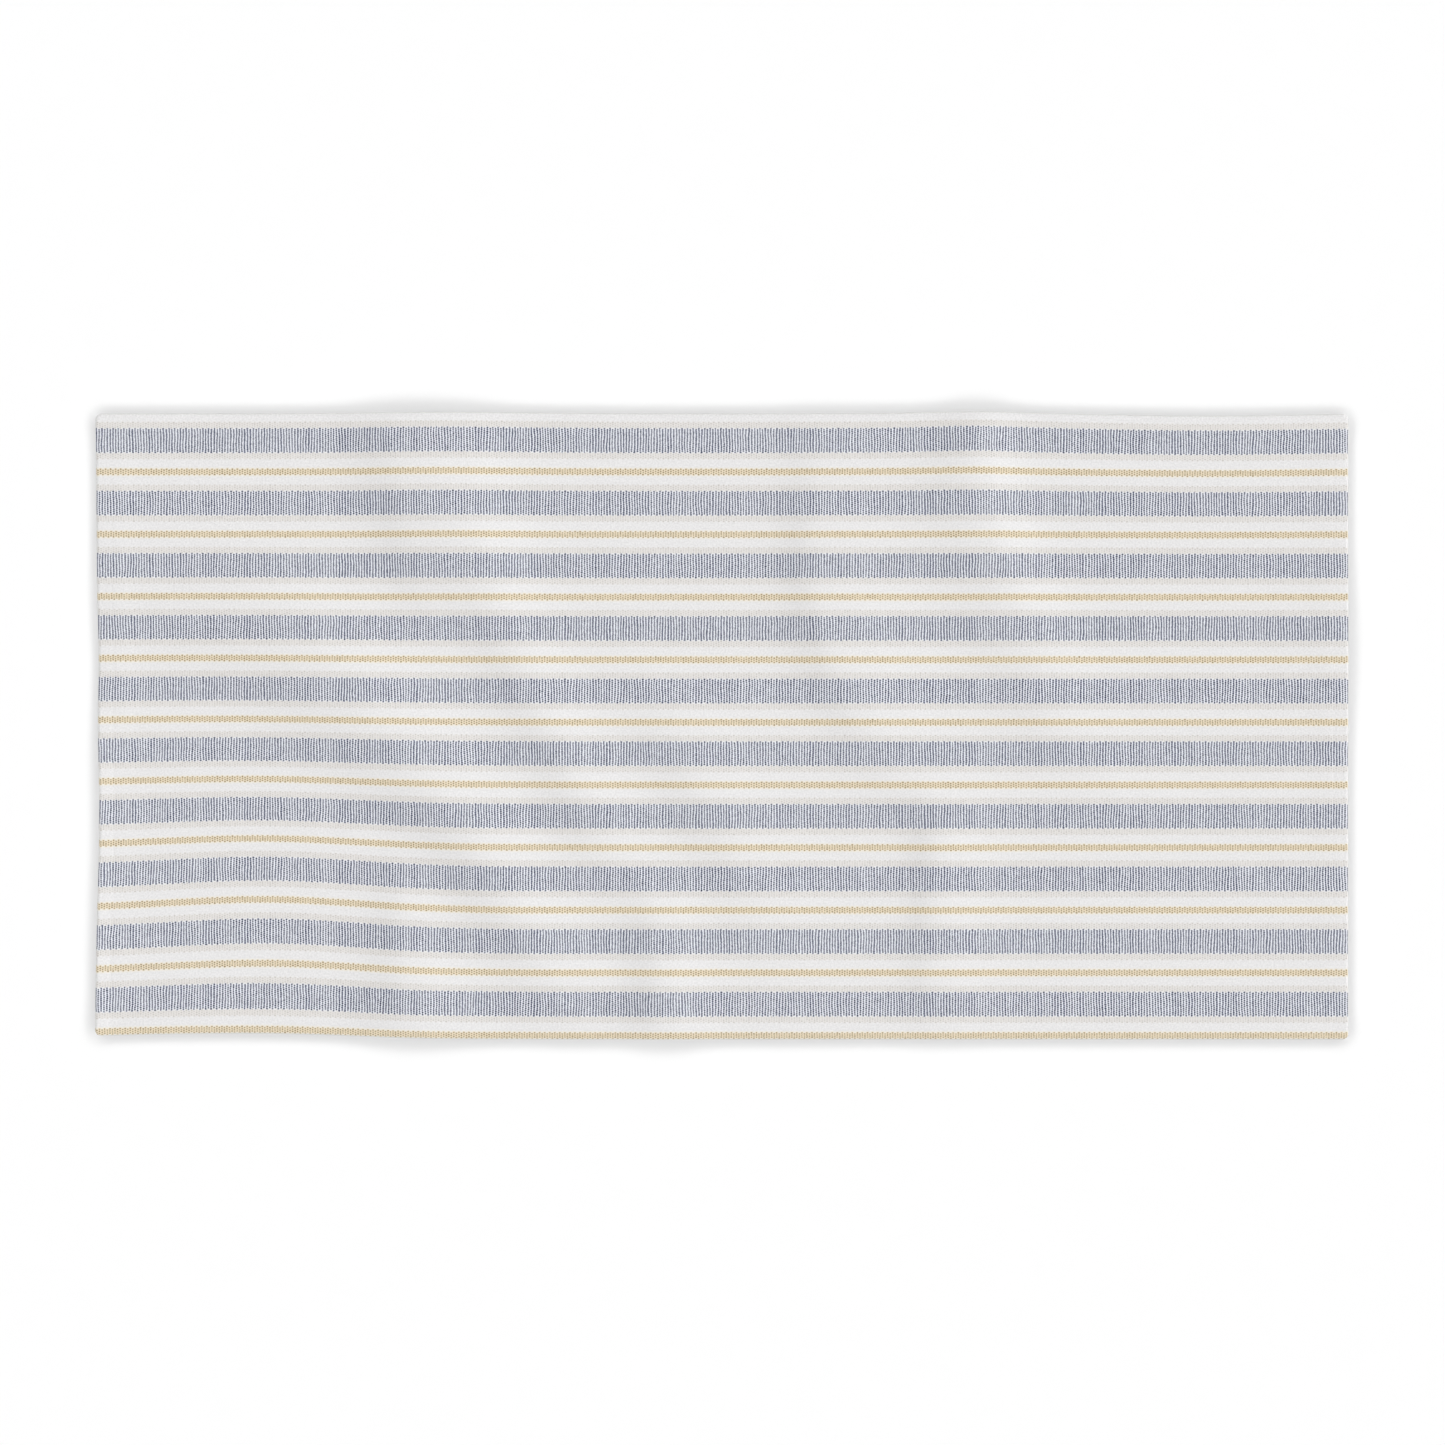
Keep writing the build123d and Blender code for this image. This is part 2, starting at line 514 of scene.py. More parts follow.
def make_label(material):
    """A blank ribbon folded in two, its fold free and its tail inside the hem."""
    ply = 0.18 * mm
    gap = 0.12 * mm
    droop_at_fold = 0.35 * mm
    points_along, points_across = 16, 13
    bottom, top = label_low[2], label_low[2] + 2 * ply + gap
    turn = (top - bottom) / 2
    middle = bottom + turn
    tail_x, free_x = label_high[0], label_low[0] + turn
    run = np.linspace(tail_x, free_x, points_along)
    turns = np.radians(np.linspace(90, 270, FOLD_POINTS)[1:-1])

    def path(radius):
        upper = np.column_stack([run, np.full(len(run), middle + radius)])
        bend = np.column_stack(
            [free_x + radius * np.cos(turns), middle + radius * np.sin(turns)]
        )
        lower = np.column_stack([run[::-1], np.full(len(run), middle - radius)])
        return np.concatenate([upper, bend, lower])

    outer, inner = path(turn), path(gap / 2)
    ring = np.concatenate([outer, inner[::-1]])
    across = np.linspace(label_high[1], label_low[1], points_across)
    droop = droop_at_fold * ease((tail_x - ring[:, 0]) / (tail_x - free_x))
    points = np.concatenate(
        [
            np.column_stack([ring[:, 0], np.full(len(ring), y), ring[:, 1] - droop])
            for y in across
        ]
    )
    return new_piece(
        "blank_care_label",
        points,
        tube_faces(len(ring), len(across)),
        material,
        points[:, :2],
    )


# ---------------------------------------------------------------- hems

def tube_faces(ring, rings):
    """Faces of closed rings joined one to the next, with both ends closed."""
    number = np.arange(ring * rings).reshape(rings, ring)
    turned = np.roll(number, -1, axis=1)
    quads = [number[:-1], turned[:-1], turned[1:], number[1:]]
    faces = np.stack(quads, axis=-1).reshape(-1, 4).tolist()
    return faces + [number[0][::-1].tolist(), number[-1].tolist()]


def make_hem(name, at_end, sign, material):
    """A turned hem on the back, between the roll of the edge and its own inner fold."""
    clear = 0.05 * mm
    spacing = 3 * mm
    tuck = 0.1 * mm
    columns = 12
    lip = roll_radius * (1 - math.sin(roll_angle)) - tuck
    if at_end:
        half_run, reach, width = half_width - lip, half_length, end_hem_width
        arc_run, row_place = arc_y, end_row_x
    else:
        half_run, reach, width = loops_high[0] - clear, half_width, side_hem_width
        arc_run, row_place = half_run, side_row_y
    along = np.linspace(-half_run, half_run, math.ceil(2 * half_run / spacing) + 1)
    # The outer edge follows the inside of the rolled edge round the towel's corners
    past = np.clip(np.abs(along) - arc_run, 0, None)
    arc = corner_radius - lip
    cut = arc - np.sqrt(np.maximum(arc**2 - past**2, 0))
    outer = reach - lip - cut
    wander_width, wander_length = 0.35 * mm, 7
    wander = wander_width * (pucker(along / mm / wander_length) - 0.5)
    inner = reach - width + clear + wander
    thick = loop_thickness - clear
    fold = thick / 2
    bend = np.radians(np.linspace(90, 270, FOLD_POINTS))
    rings = []
    for run, outer_edge, inner_edge in zip(along, outer, inner):
        flat_run = np.linspace(inner_edge + fold, outer_edge, columns)
        upper = np.column_stack([flat_run[::-1], np.full(columns, thick)])
        turn = np.column_stack(
            [inner_edge + fold + fold * np.cos(bend), fold + fold * np.sin(bend)]
        )
        lower = np.column_stack([flat_run, np.zeros(columns)])
        across_row = (lower[:, 0] - row_place) / SEAM_HALF_WIDTH
        drawn_in = BACK_SEAM_DIP * pull_of(run / mm)
        lower[:, 1] += drawn_in * np.exp(-(across_row**2))
        ring = np.concatenate([upper, turn[1:-1], lower])
        run_column = np.full(len(ring), run)
        place = sign * ring[:, 0]
        xy = [place, run_column] if at_end else [run_column, place]
        rings.append(np.column_stack([*xy, ring[:, 1]]))
    points = np.concatenate(rings)
    faces = tube_faces(len(rings[0]), len(along))
    if at_end == (sign > 0):
        faces = [face[::-1] for face in faces]
    return new_piece(name, points, faces, material, points[:, :2])


# ---------------------------------------------------------------- stitches

STITCH_LENGTH = 2.7 * mm
STITCH_GAP = 0.5 * mm
STITCH_SINK = 0.5 * mm
# How thin a stitch is at its holes, as a share of the thread
STITCH_THIN = 0.55
# How unevenly the stitches slant, as a slope, and how far they stray from the row
STITCH_SLANT = 0.03
STITCH_SHIFT = 0.06 * mm
STITCH_SIDES = 6
STITCH_RINGS = 6
FIRST_SEED, CLOSING_SEED = 20, 90


def stitch_shape(length):
    """One stitch along X: a thread that rises from one hole and sinks into the next."""
    share = np.linspace(0, 1, STITCH_RINGS)
    arch = np.sin(np.pi * share) ** 0.5
    angles = 2 * np.pi * np.arange(STITCH_SIDES) / STITCH_SIDES
    rings = []
    for position, rise in zip(share, arch):
        radius = thread_radius * (STITCH_THIN + (1 - STITCH_THIN) * rise)
        height = (rise - 1) * STITCH_SINK
        rings.append(
            np.column_stack(
                [
                    np.full(STITCH_SIDES, (position - 0.5) * length),
                    radius * np.cos(angles),
                    radius * np.sin(angles) + height,
                ]
            )
        )
    return np.concatenate(rings)


def make_stitches(name, runs, height, upward, material, seed):
    """Rows of separate stitches between pairs of places, in one piece."""
    rng = np.random.default_rng(seed)
    points, faces = [], []
    single = tube_faces(STITCH_SIDES, STITCH_RINGS)
    for start, end in runs:
        start, end = np.array(start), np.array(end)
        run = np.linalg.norm(end - start)
        heading = (end - start) / run
        sideways = np.array([-heading[1], heading[0]])
        count = int(run // (STITCH_LENGTH + STITCH_GAP))
        pitch = run / count
        for k in range(count):
            shape = stitch_shape(pitch - STITCH_GAP)
            slant = rng.normal(0, STITCH_SLANT)
            middle = start + heading * pitch * (k + 0.5)
            middle = middle + sideways * rng.normal(0, STITCH_SHIFT)
            xy = middle + np.outer(shape[:, 0], heading + slant * sideways)
            xy = xy + np.outer(shape[:, 1], sideways)
            z = height + (shape[:, 2] if upward else -shape[:, 2])
            first = len(points) * len(shape)
            points.append(np.column_stack([xy, z]))
            for face in single:
                numbers = [first + number for number in face]
                faces.append(numbers if upward else numbers[::-1])
    points = np.concatenate(points)
    return new_piece(name, points, faces, material, points[:, :2])


def row_ends(node):
    """The two ends of a hem's row of stitching, from its CAD thread."""
    low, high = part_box(node)
    middle_x, middle_y = (low[0] + high[0]) / 2, (low[1] + high[1]) / 2
    if high[0] - low[0] > high[1] - low[1]:
        return (low[0], middle_y), (high[0], middle_y)
    return (middle_x, low[1]), (middle_x, high[1])


def closing_runs():
    """The four short rows that close the open ends of the end hems."""
    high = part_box("closing_stitches")[1]
    length = 7 * mm
    row_y = high[1] - thread_radius
    runs = []
    for x_sign in (-1, 1):
        for y_sign in (-1, 1):
            outer_end = (x_sign * high[0], y_sign * row_y)
            runs.append(((x_sign * (high[0] - length), y_sign * row_y), outer_end))
    return runs


# ---------------------------------------------------------------- materials

class Shade:
    """One value in a node tree. Arithmetic on it adds Math nodes to the tree."""

    def __init__(self, tree, socket):
        self.tree = tree
        self.socket = socket

    def math(self, operation, *others):
        node = self.tree.nodes.new("ShaderNodeMath")
        node.operation = operation
        for place, value in enumerate((self, *others)):
            feed(self.tree, value, node.inputs[place])
        return Shade(self.tree, node.outputs[0])

    def __add__(self, other):
        return self.math("ADD", other)

    def __sub__(self, other):
        return self.math("SUBTRACT", other)

    def __mul__(self, other):
        return self.math("MULTIPLY", other)

    def __truediv__(self, other):
        return self.math("DIVIDE", other)

    def __abs__(self):
        return self.math("ABSOLUTE")

    def floor(self):
        return self.math("FLOOR")

    def step(self, low, high, start=0.0, end=1.0):
        """A smooth step from start to end as the value goes from low to high."""
        node = self.tree.nodes.new("ShaderNodeMapRange")
        node.interpolation_type = "SMOOTHSTEP"
        for name, value in (("From Min", low), ("From Max", high)):
            node.inputs[name].default_value = value
        for name, value in (("To Min", start), ("To Max", end)):
            node.inputs[name].default_value = value
        self.tree.links.new(self.socket, node.inputs["Value"])
        return Shade(self.tree, node.outputs["Result"])


def feed(tree, value, entry):
    """Gives an input of a node its value: a link from a Shade, or a plain number."""
    if isinstance(value, Shade):
        tree.links.new(value.socket, entry)
    else:
        entry.default_value = value


def vector(tree, x, y, z=0.0):
    """A vector from three values."""
    node = tree.nodes.new("ShaderNodeCombineXYZ")
    for place, value in enumerate((x, y, z)):
        feed(tree, value, node.inputs[place])
    return Shade(tree, node.outputs[0])


def noise(tree, place, scale, detail=0.0):
    """Noise from 0 to 1 with about one bump for each 1/scale of place."""
    node = tree.nodes.new("ShaderNodeTexNoise")
    tree.links.new(place.socket, node.inputs["Vector"])
    node.inputs["Scale"].default_value = scale
    node.inputs["Detail"].default_value = detail
    return Shade(tree, node.outputs[0])


def chance(tree, place):
    """A random value from 0 to 1 for each place."""
    node = tree.nodes.new("ShaderNodeTexWhiteNoise")
    tree.links.new(place.socket, node.inputs["Vector"])
    return Shade(tree, node.outputs["Value"])


def colour(red, green, blue):
    """A surface colour that renders as these screen values, out of 255, in this light."""
    linear = []
    for value in (red, green, blue):
        value = value / 255
        value = value / 12.92 if value <= 0.04045 else ((value + 0.055) / 1.055) ** 2.4
        linear.append(value / LIGHT_LEVEL)
    return (*linear, 1.0)


def mixed(tree, share, first, second):
    """Goes from the first colour to the second as share goes from 0 to 1."""
    node = tree.nodes.new("ShaderNodeMix")
    node.data_type = "RGBA"
    entries = {entry.identifier: entry for entry in node.inputs}
    feed(tree, share, entries["Factor_Float"])
    feed(tree, first, entries["A_Color"])
    feed(tree, second, entries["B_Color"])
    results = {result.identifier: result for result in node.outputs}
    return Shade(tree, results["Result_Color"])


def flat_place(tree):
    """X and Y on the flat cloth, in millimetres."""
    node = tree.nodes.new("ShaderNodeUVMap")
    node.uv_map = FLAT
    parts = tree.nodes.new("ShaderNodeSeparateXYZ")
    tree.links.new(node.outputs["UV"], parts.inputs[0])
    x = Shade(tree, parts.outputs[0]) / mm
    y = Shade(tree, parts.outputs[1]) / mm
    return x, y


def new_material(name):
    """A material, its node tree and its Principled shader."""
    material = bpy.data.materials.new(name)
    material.use_nodes = True
    tree = material.node_tree
    return material, tree, tree.nodes["Principled BSDF"]


def raise_surface(tree, shader, height, distance):
    """Bumps the shader's surface by a height from 0 to 1 times distance."""
    node = tree.nodes.new("ShaderNodeBump")
    node.inputs["Distance"].default_value = distance
    node.inputs["Strength"].default_value = 1.0
    tree.links.new(height.socket, node.inputs["Height"])
    tree.links.new(node.outputs[0], shader.inputs["Normal"])


# The printed stripes, in millimetres. One repeat runs from blue band to blue band.
REPEAT = 50.8
FIRST_BLUE = 22.0
BLUE_DOTS, BLUE_COLUMN, BLUE_DOT = 12, 2.26, 1.63
YELLOW_DOTS, YELLOW_COLUMN, YELLOW_DOT = 3, 2.045, 1.70
BEIGE_DOTS = 3
BEIGE_MIDDLE = 12.45
# How far the print lies off the towel's middle, towards its left end
PRINT_SHIFT = 0.3
# Half a dot's size in X and Y, and the range of its strength
BLUE_SHAPE, BLUE_STRENGTH = (0.82, 0.62), (0.8, 1.0)
YELLOW_SHAPE, YELLOW_STRENGTH = (0.72, 0.6), (0.72, 0.95)
BEIGE_SHAPE, BEIGE_STRENGTH = (0.75, 0.66), (0.45, 1.0)
# The paler bar that joins a blue column's dots: where it ends and is full, and its strength
BAR_EDGE, BAR_STRENGTH = (0.95, 0.4), (0.6, 1.0)
# The cream ground of the yellow line: where it ends and is full, from the line's middle
CREAM_EDGE = (4.3, 2.9)
# How far the blue columns wander, and over what length across and down
WANDER, WANDER_ACROSS, WANDER_DOWN = 2.0, 12.0, 17.0
# How far apart the bands lie in that noise, so that each wanders in its own way
WANDER_BAND = 3.7
# How far ink creeps along the fibres, and the grain of it
CREEP, CREEP_GRAIN = 0.7, 1.1
# Where a dot's ink ends and is full, as a share of its size, and how far a band's end blurs
DOT_EDGE = (1.25, 0.55)
BAND_BLUR = 0.3
# How far past the outline the print fades out to the roll's painted shade, and where the
# deeper painted shade on the outside of the rolled edge starts and ends
PRINT_END = (-0.3, 0.4)
PAINTED_SHADE_START, PAINTED_SHADE_END = (0.3, 1.6), (4.0, 2.7)

# Terry loops and the twist of their yarn, in millimetres
LOOP_SPACING = 1.5
YARN_TWIST = 0.55


def dot_columns(tree, x, y, column_width, dot_height, dots, seed):
    """Columns of dots, every other column shifted by half a dot.

    Returns how far a place is from its dot's middle in X and Y, whether it is in the band,
    and two random values: one for its column and one for its dot.
    """
    column = x / column_width
    number = column.floor()
    parity = number.math("MODULO", 2.0).math("ABSOLUTE") - 0.5
    off_x = (column - number - 0.5) * column_width
    y = y + parity * (dot_height / 2)
    half = dots * dot_height / 2
    row = (y + half) / dot_height
    off_y = (row - row.floor() - 0.5) * dot_height
    inside = abs(y).step(half + BAND_BLUR, half - BAND_BLUR)
    column_chance = chance(tree, vector(tree, number, seed))
    dot_chance = chance(tree, vector(tree, number, row.floor(), seed + 0.5))
    return off_x, off_y, inside, column_chance, dot_chance


def dot_shape(off_x, off_y, half_x, half_y):
    """1 in the middle of a dot, falling softly to 0 past its edge."""
    across, up = off_x / half_x, off_y / half_y
    away = (across * across + up * up).math("SQRT")
    return away.step(*DOT_EDGE)


def ink_of(off_x, off_y, shape, speck, strength):
    """How much ink a dot leaves at a place, each dot a little stronger or weaker."""
    return dot_shape(off_x, off_y, *shape) * speck.step(0.0, 1.0, *strength)


def creep_of(tree, x, y, seed):
    """How far the ink creeps at a place."""
    return (noise(tree, vector(tree, x, y, seed), CREEP_GRAIN) - 0.5) * CREEP


def print_colour(tree, x, y):
    """The printed stripes at a flat place in millimetres."""
    down = (y - half_width / mm) * -1.0 - FIRST_BLUE
    repeat_number = (down / REPEAT).math("ROUND")
    from_blue = down - repeat_number * REPEAT
    past = down - REPEAT / 2
    from_yellow = past - (past / REPEAT).math("ROUND") * REPEAT

    # The columns lean and wander, each band in its own way
    place = vector(tree, x / WANDER_ACROSS, down / WANDER_DOWN, repeat_number * WANDER_BAND)
    wander = (noise(tree, place, 1.0, 1.0) - 0.5) * WANDER
    # Ink creeps along the fibres, so no printed edge is clean
    creep_x = creep_of(tree, x, y, seed=3.0)
    creep_y = creep_of(tree, x, y, seed=8.0)
    x = x + creep_x
    from_blue, from_yellow = from_blue + creep_y, from_yellow + creep_y

    paper = white_pile(tree, x, y)
    off_x, off_y, inside, _, speck = dot_columns(
        tree,
        x,
        abs(from_blue) - BEIGE_MIDDLE,
        YELLOW_COLUMN,
        YELLOW_DOT,
        BEIGE_DOTS,
        seed=5.0,
    )
    ink = ink_of(off_x, off_y, BEIGE_SHAPE, speck, BEIGE_STRENGTH)
    beige = mixed(tree, ink, BEIGE_GAP, BEIGE_DOT)
    result = mixed(tree, inside, paper, beige)

    off_x, off_y, inside, _, speck = dot_columns(
        tree, x, from_yellow, YELLOW_COLUMN, YELLOW_DOT, YELLOW_DOTS, seed=9.0
    )
    ink = ink_of(off_x, off_y, YELLOW_SHAPE, speck, YELLOW_STRENGTH)
    yellow = mixed(tree, ink, YELLOW_GAP, YELLOW_INK)
    cream = abs(from_yellow).step(*CREAM_EDGE)
    result = mixed(tree, cream, result, CREAM)
    result = mixed(tree, inside, result, yellow)

    off_x, off_y, inside, column_speck, speck = dot_columns(
        tree, x + wander, from_blue, BLUE_COLUMN, BLUE_DOT, BLUE_DOTS, seed=1.0
    )
    bar = abs(off_x).step(*BAR_EDGE) * column_speck.step(0.0, 1.0, *BAR_STRENGTH)
    blue = mixed(tree, bar, BLUE_GAP, BLUE_BAR)
    ink = ink_of(off_x, off_y, BLUE_SHAPE, speck, BLUE_STRENGTH)
    blue = mixed(tree, ink, blue, BLUE_INK)
    return mixed(tree, inside, result, blue)


def white_pile(tree, x, y):
    """Unprinted pile: white with a fine uneven grain."""
    grain = noise(tree, vector(tree, x, y), 0.7, 2.0)
    return mixed(tree, grain.step(0.3, 0.7), WHITE_SHADE, WHITE_LIGHT)


def finish_velour(tree, shader, x, y, result):
    """Gives sheared pile its colour, its tufts and its soft sheen."""
    tree.links.new(result.socket, shader.inputs["Base Color"])
    place = vector(tree, x, y)
    fine, coarse = noise(tree, place, 1.9, 2.0), noise(tree, place, 0.55, 1.0)
    tuft_height = 0.28 * mm
    raise_surface(tree, shader, fine * 0.6 + coarse * 0.4, tuft_height)
    rough = noise(tree, place, 0.2, 1.0).step(0.2, 0.8, start=0.86, end=0.98)
    tree.links.new(rough.socket, shader.inputs["Roughness"])
    shader.inputs["Sheen Weight"].default_value = 0.12
    shader.inputs["Sheen Roughness"].default_value = 0.45
    shader.inputs["Specular IOR Level"].default_value = 0.2


def make_printed_velour():
    """Sheared pile that carries the print as far as the outermost line of the edge."""
    material, tree, shader = new_material("printed_velour")
    x, y = flat_place(tree)
    printed = print_colour(tree, x, y)
    past_x = abs(x + PRINT_SHIFT) - half_length / mm
    past_y = abs(y) - half_width / mm
    past = past_x.math("MAXIMUM", past_y)
    # Past the print the roll is painted a grey shade, darker than the pile's white
    result = mixed(tree, past.step(*PRINT_END), printed, ROLL_PAINTED_SHADE)
    # Painted shade: the outside of the roll is greyer, which deepens the shadow beside the
    # towel
    outside = past.step(*PAINTED_SHADE_START) * past.step(*PAINTED_SHADE_END)
    result = mixed(tree, outside, result, ROLL_OUTSIDE_PAINTED_SHADE)
    finish_velour(tree, shader, x, y, result)
    return material


def make_hem_cloth():
    """The same pile where it is turned to the back, out of the print's reach."""
    material, tree, shader = new_material("hem_cloth")
    x, y = flat_place(tree)
    finish_velour(tree, shader, x, y, white_pile(tree, x, y))
    return material


def make_terry():
    """Unprinted loops: short twisted yarns that lie every way, with painted shade between
    them and along their twist.
    """
    material, tree, shader = new_material("terry_loops")
    x, y = flat_place(tree)
    cells = tree.nodes.new("ShaderNodeTexVoronoi")
    cells.voronoi_dimensions = "2D"
    cells.inputs["Scale"].default_value = 1 / LOOP_SPACING
    cells.inputs["Randomness"].default_value = 0.8
    place = vector(tree, x, y)
    tree.links.new(place.socket, cells.inputs["Vector"])
    middle = tree.nodes.new("ShaderNodeSeparateXYZ")
    tree.links.new(cells.outputs["Position"], middle.inputs[0])
    off_x = x - Shade(tree, middle.outputs[0])
    off_y = y - Shade(tree, middle.outputs[1])
    turn = chance(tree, Shade(tree, cells.outputs["Position"])) * math.pi
    cos, sin = turn.math("COSINE"), turn.math("SINE")
    along = off_x * cos + off_y * sin
    across = off_y * cos - off_x * sin
    round_yarn = abs(across / LOOP_SPACING).step(0.62, 0.08)
    ends = abs(along / LOOP_SPACING).step(0.85, 0.35)
    loop = round_yarn * ends
    twist = ((along + across * 0.7) * (2 * math.pi / YARN_TWIST)).math("SINE") * 0.5 + 0.5
    # Painted shade: the hollows between the loops and the grooves of their twist are darker
    # than the loops' tops
    result = mixed(tree, loop, TERRY_PAINTED_SHADE, TERRY_TOP)
    result = mixed(tree, twist * loop * 0.25, result, TERRY_PAINTED_SHADE)
    tree.links.new(result.socket, shader.inputs["Base Color"])
    fibre = noise(tree, place, 4.0, 2.0)
    height, loop_height = loop * 0.75 + twist * loop * 0.1 + fibre * 0.15, 0.9 * mm
    raise_surface(tree, shader, height, loop_height)
    shader.inputs["Roughness"].default_value = 0.95
    shader.inputs["Sheen Weight"].default_value = 0.15
    shader.inputs["Specular IOR Level"].default_value = 0.2
    return material


def make_weave(name, thread_gap, light, shade, roughness, sheen, depth):
    """A plain weave of threads that pass over and under each other."""
    material, tree, shader = new_material(name)
    x, y = flat_place(tree)
    column, row = x / thread_gap, y / thread_gap
    across = (column - column.floor() - 0.5).math("ABSOLUTE")
    up = (row - row.floor() - 0.5).math("ABSOLUTE")
    number = column.floor() + row.floor()
    parity = number.math("MODULO", 2.0).math("ABSOLUTE")
    warp = across.step(0.5, 0.0)
    weft = up.step(0.5, 0.0)
    height = warp * parity + weft * (parity * -1.0 + 1.0)
    # Painted shade: each thread is darker where it dips under the next and lighter on top
    result = mixed(tree, height, shade, light)
    tree.links.new(result.socket, shader.inputs["Base Color"])
    raise_surface(tree, shader, height, depth)
    shader.inputs["Roughness"].default_value = roughness
    shader.inputs["Sheen Weight"].default_value = sheen
    shader.inputs["Specular IOR Level"].default_value = 0.3
    return material


def make_thread():
    """Spun polyester sewing thread with its twist showing."""
    material, tree, shader = new_material("sewing_thread")
    x, y = flat_place(tree)
    radians_per_mm, ply_height = 9.0, 0.05 * mm
    twist = ((x + y) * radians_per_mm).math("SINE") * 0.5 + 0.5
    # Painted shade: the thread is darker in the grooves of its twist
    result = mixed(tree, twist, THREAD_SHADE, THREAD_LIGHT)
    tree.links.new(result.socket, shader.inputs["Base Color"])
    raise_surface(tree, shader, twist, ply_height)
    shader.inputs["Roughness"].default_value = 0.6
    shader.inputs["Sheen Weight"].default_value = 0.2
    return material


# ---------------------------------------------------------------- light and colours

FLOOR_ALBEDO = 0.9
# The light on level ground, from the sky and from the light at the right
SKY = 0.96
SUN = 0.15
LIGHT_LEVEL = SKY + SUN
# Most of the sky's light comes from a bright ring all round, at this sine of its height
RING_SHARE = 0.95
RING_HEIGHT = 0.53
RING_WIDTH = 0.12
SUN_HEIGHT = math.radians(20)
SUN_TURN = math.radians(3)
SUN_SIZE = math.radians(40)

WHITE_LIGHT = colour(241, 240, 240)
WHITE_SHADE = colour(228, 227, 227)
BEIGE_GAP = colour(232, 229, 226)
BEIGE_DOT = colour(204, 200, 196)
CREAM = colour(238, 234, 226)
# Painted shade on the unprinted roll of the edge, and deeper painted shade on its outside
ROLL_PAINTED_SHADE = colour(216, 216, 215)
ROLL_OUTSIDE_PAINTED_SHADE = colour(178, 178, 177)
YELLOW_GAP = colour(236, 222, 196)
YELLOW_INK = colour(140, 123, 88)
BLUE_GAP = colour(243, 245, 251)
BLUE_BAR = colour(160, 164, 181)
BLUE_INK = colour(50, 54, 76)
# The loops' own white, and the painted shade in their hollows and twist
TERRY_TOP = colour(240, 240, 239)
TERRY_PAINTED_SHADE = colour(222, 222, 221)
# Lit tops and painted shade of the ground weave's threads
GROUND_LIGHT = colour(232, 232, 230)
GROUND_SHADE = colour(208, 208, 206)
# Lit tops and painted shade of the label ribbon's threads
LABEL_LIGHT = colour(240, 240, 240)
LABEL_SHADE = colour(226, 226, 226)
# The thread's lit ridges and the painted shade in the grooves of its twist
THREAD_LIGHT = colour(238, 238, 238)
THREAD_SHADE = colour(206, 206, 206)


def make_stage():
    """A pale floor, a sky that is brightest in a ring all round, and a light from the right.

    The light casts no shadow, so the towel's shadow is as deep on its left as on its right.
    """
    half = 15.0
    drop = 0.3 * mm
    unevenness, specks_per_metre = 0.002, 40
    corners = [(-half, -half), (half, -half), (half, half), (-half, half)]
    mesh = bpy.data.meshes.new("floor")
    mesh.from_pydata([(x, y, -drop) for x, y in corners], [], [(0, 1, 2, 3)])
    material, tree, shader = new_material("floor")
    place = tree.nodes.new("ShaderNodeTexCoord")
    speck = tree.nodes.new("ShaderNodeTexNoise")
    speck.inputs["Scale"].default_value = specks_per_metre
    tree.links.new(place.outputs["Object"], speck.inputs["Vector"])
    tone = Shade(tree, speck.outputs[0]).step(0.2, 0.8)
    low, high = FLOOR_ALBEDO - unevenness, FLOOR_ALBEDO + unevenness
    result = mixed(tree, tone, (low, low, low, 1), (high, high, high, 1))
    tree.links.new(result.socket, shader.inputs["Base Color"])
    shader.inputs["Roughness"].default_value = 1.0
    shader.inputs["Specular IOR Level"].default_value = 0.0
    mesh.materials.append(material)
    floor = bpy.data.objects.new("floor", mesh)
    bpy.context.scene.collection.objects.link(floor)

    world = bpy.data.worlds.new("studio")
    world.use_nodes = True
    tree = world.node_tree
    direction = tree.nodes.new("ShaderNodeTexCoord")
    parts = tree.nodes.new("ShaderNodeSeparateXYZ")
    tree.links.new(direction.outputs["Generated"], parts.inputs[0])
    from_ring = (Shade(tree, parts.outputs[2]) - RING_HEIGHT) / RING_WIDTH
    ring = (from_ring * from_ring * -1.0).math("EXPONENT")
    # What a ring of that brightness adds to the light on level ground
    ring_level = 2 * RING_HEIGHT * RING_WIDTH * math.sqrt(math.pi)
    strength = ring * (SKY * RING_SHARE / ring_level) + SKY * (1 - RING_SHARE)
    background = tree.nodes["Background"]
    background.inputs["Color"].default_value = (1, 1, 1, 1)
    tree.links.new(strength.socket, background.inputs["Strength"])
    bpy.context.scene.world = world

    lamp = bpy.data.lights.new("soft_light", "SUN")
    lamp.angle = SUN_SIZE
    lamp.energy = SUN * math.pi / math.sin(SUN_HEIGHT)
    lamp.use_shadow = False
    light = bpy.data.objects.new("soft_light", lamp)
    light.rotation_euler = (0, math.pi / 2 - SUN_HEIGHT, SUN_TURN)
    bpy.context.scene.collection.objects.link(light)


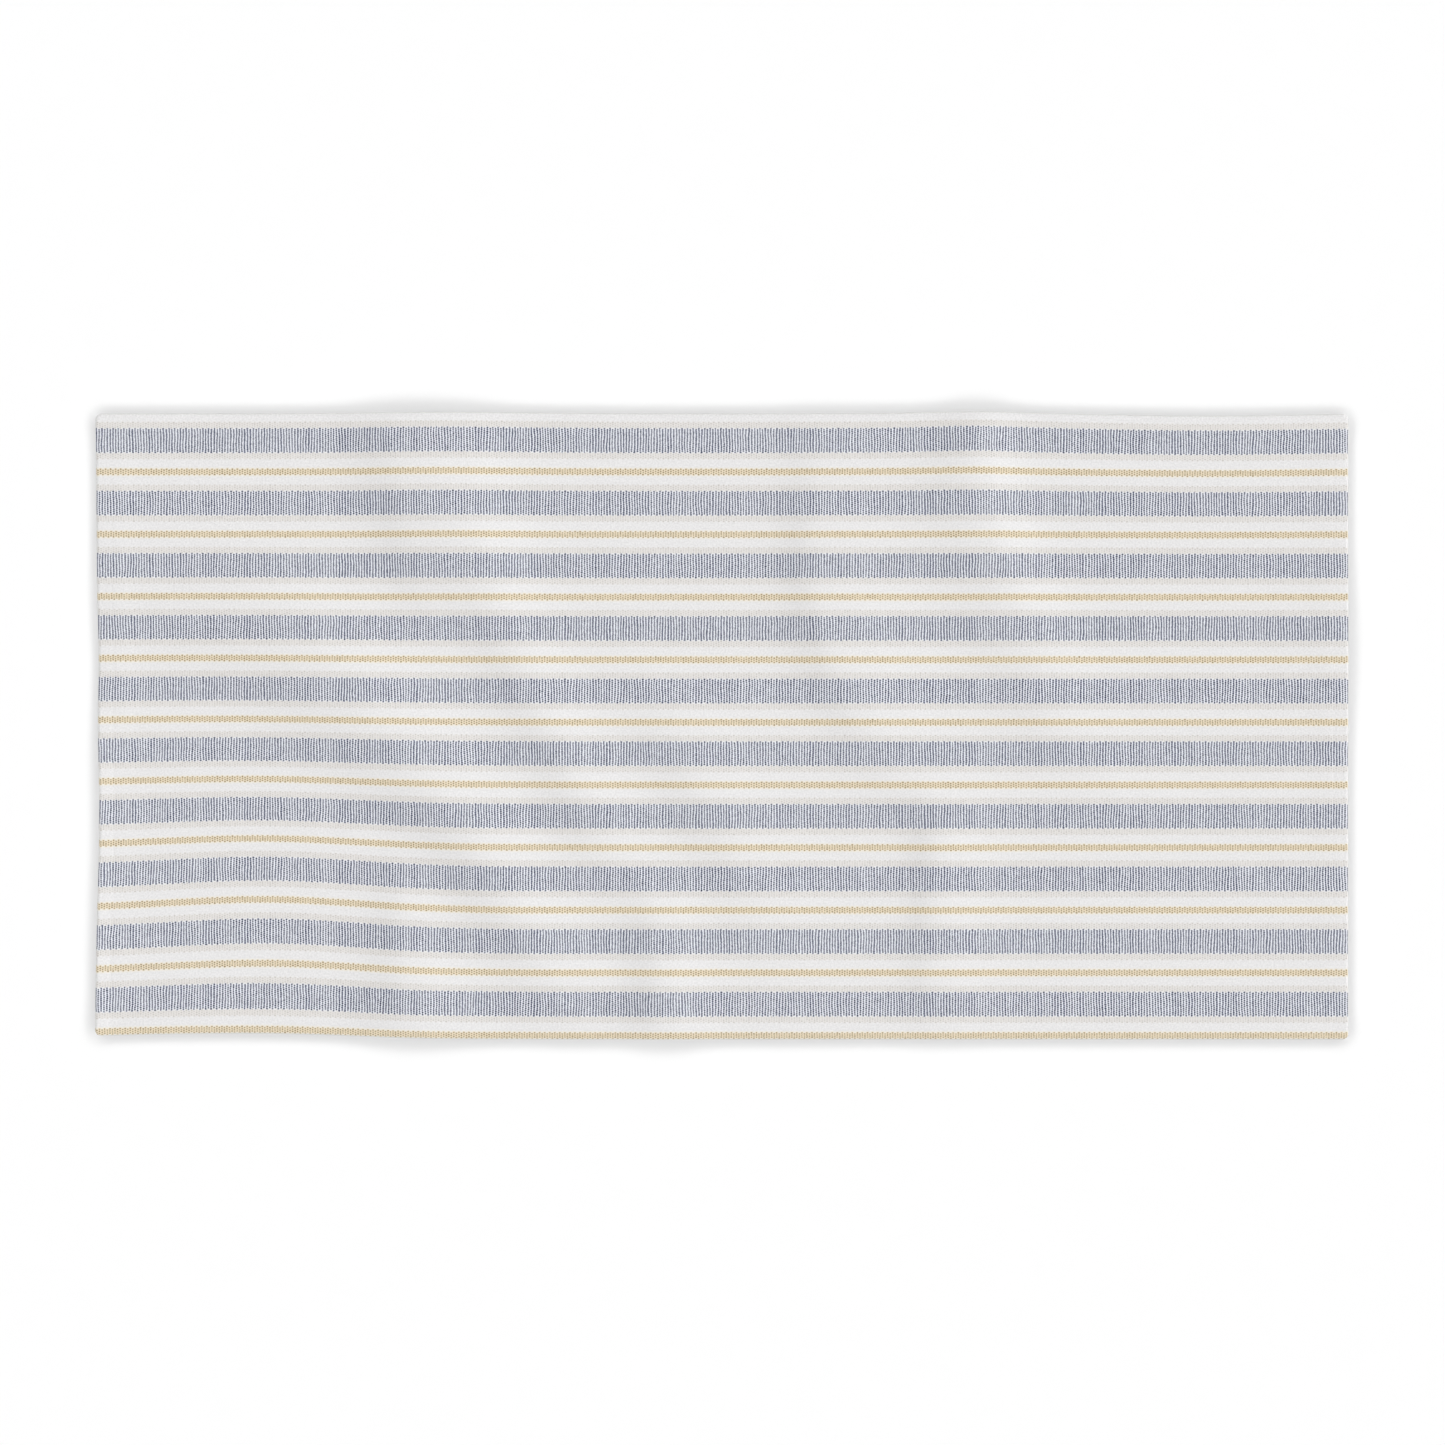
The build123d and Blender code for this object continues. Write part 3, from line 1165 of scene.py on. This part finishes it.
def make_camera():
    """A camera straight above, with the towel's far side at the top of the picture."""
    lens, sensor = 100, 36
    towel_share_of_picture = 0.8664
    picture_width = 2 * half_length / towel_share_of_picture
    camera_data = bpy.data.cameras.new("camera")
    camera_data.lens = lens
    camera_data.sensor_width = sensor
    camera = bpy.data.objects.new("camera", camera_data)
    distance = picture_width * lens / sensor
    towel_below_middle = 3.3 * mm
    camera.location = (0, towel_below_middle, face_top + distance)
    bpy.context.scene.collection.objects.link(camera)
    bpy.context.scene.camera = camera
    bpy.context.scene.view_settings.view_transform = "Standard"


# ---------------------------------------------------------------- the towel

make_camera()
make_stage()

velour = make_printed_velour()
hem_cloth = make_hem_cloth()
terry = make_terry()
ground_weave = make_weave(
    "ground_weave",
    thread_gap=0.8,
    light=GROUND_LIGHT,
    shade=GROUND_SHADE,
    roughness=0.9,
    sheen=0.1,
    depth=0.15 * mm,
)
ribbon = make_weave(
    "label_ribbon",
    thread_gap=0.35,
    light=LABEL_LIGHT,
    shade=LABEL_SHADE,
    roughness=0.45,
    sheen=0.3,
    depth=0.04 * mm,
)
sewing_thread = make_thread()

face = make_face(velour)
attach(face, body)
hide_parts("face_pile")

ground = make_ground(ground_weave)
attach(ground, body)
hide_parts("ground_cloth")

back = make_back_loops(terry)
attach(back, body)
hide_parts("back_loops")

label = make_label(ribbon)
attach(label, body)
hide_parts("care_label")

trims = []
for place, at_end, sign in (
    ("left_end", True, -1),
    ("right_end", True, 1),
    ("near_side", False, -1),
    ("far_side", False, 1),
):
    hem = make_hem(f"{place}_turned_hem", at_end, sign, hem_cloth)
    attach(hem, body)
    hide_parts(f"{place}_hem")
    trims.append(hem)

    # The towel is printed after it is sewn, so the thread on its face takes the print
    row = row_ends(f"{place}_needle_thread")
    seed = FIRST_SEED + 2 * len(trims)
    needle = make_stitches(
        f"{place}_needle_stitches", [row], face_top, True, velour, seed
    )
    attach(needle, body)
    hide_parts(f"{place}_needle_thread")
    trims.append(needle)

    bobbin = make_stitches(
        f"{place}_bobbin_stitches", [row], thread_radius, False, sewing_thread, seed + 1
    )
    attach(bobbin, body)
    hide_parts(f"{place}_bobbin_thread")
    trims.append(bobbin)

closing = make_stitches(
    "hem_closing_stitches",
    closing_runs(),
    thread_radius,
    False,
    sewing_thread,
    CLOSING_SEED,
)
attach(closing, body)
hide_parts("closing_stitches")
trims.append(closing)
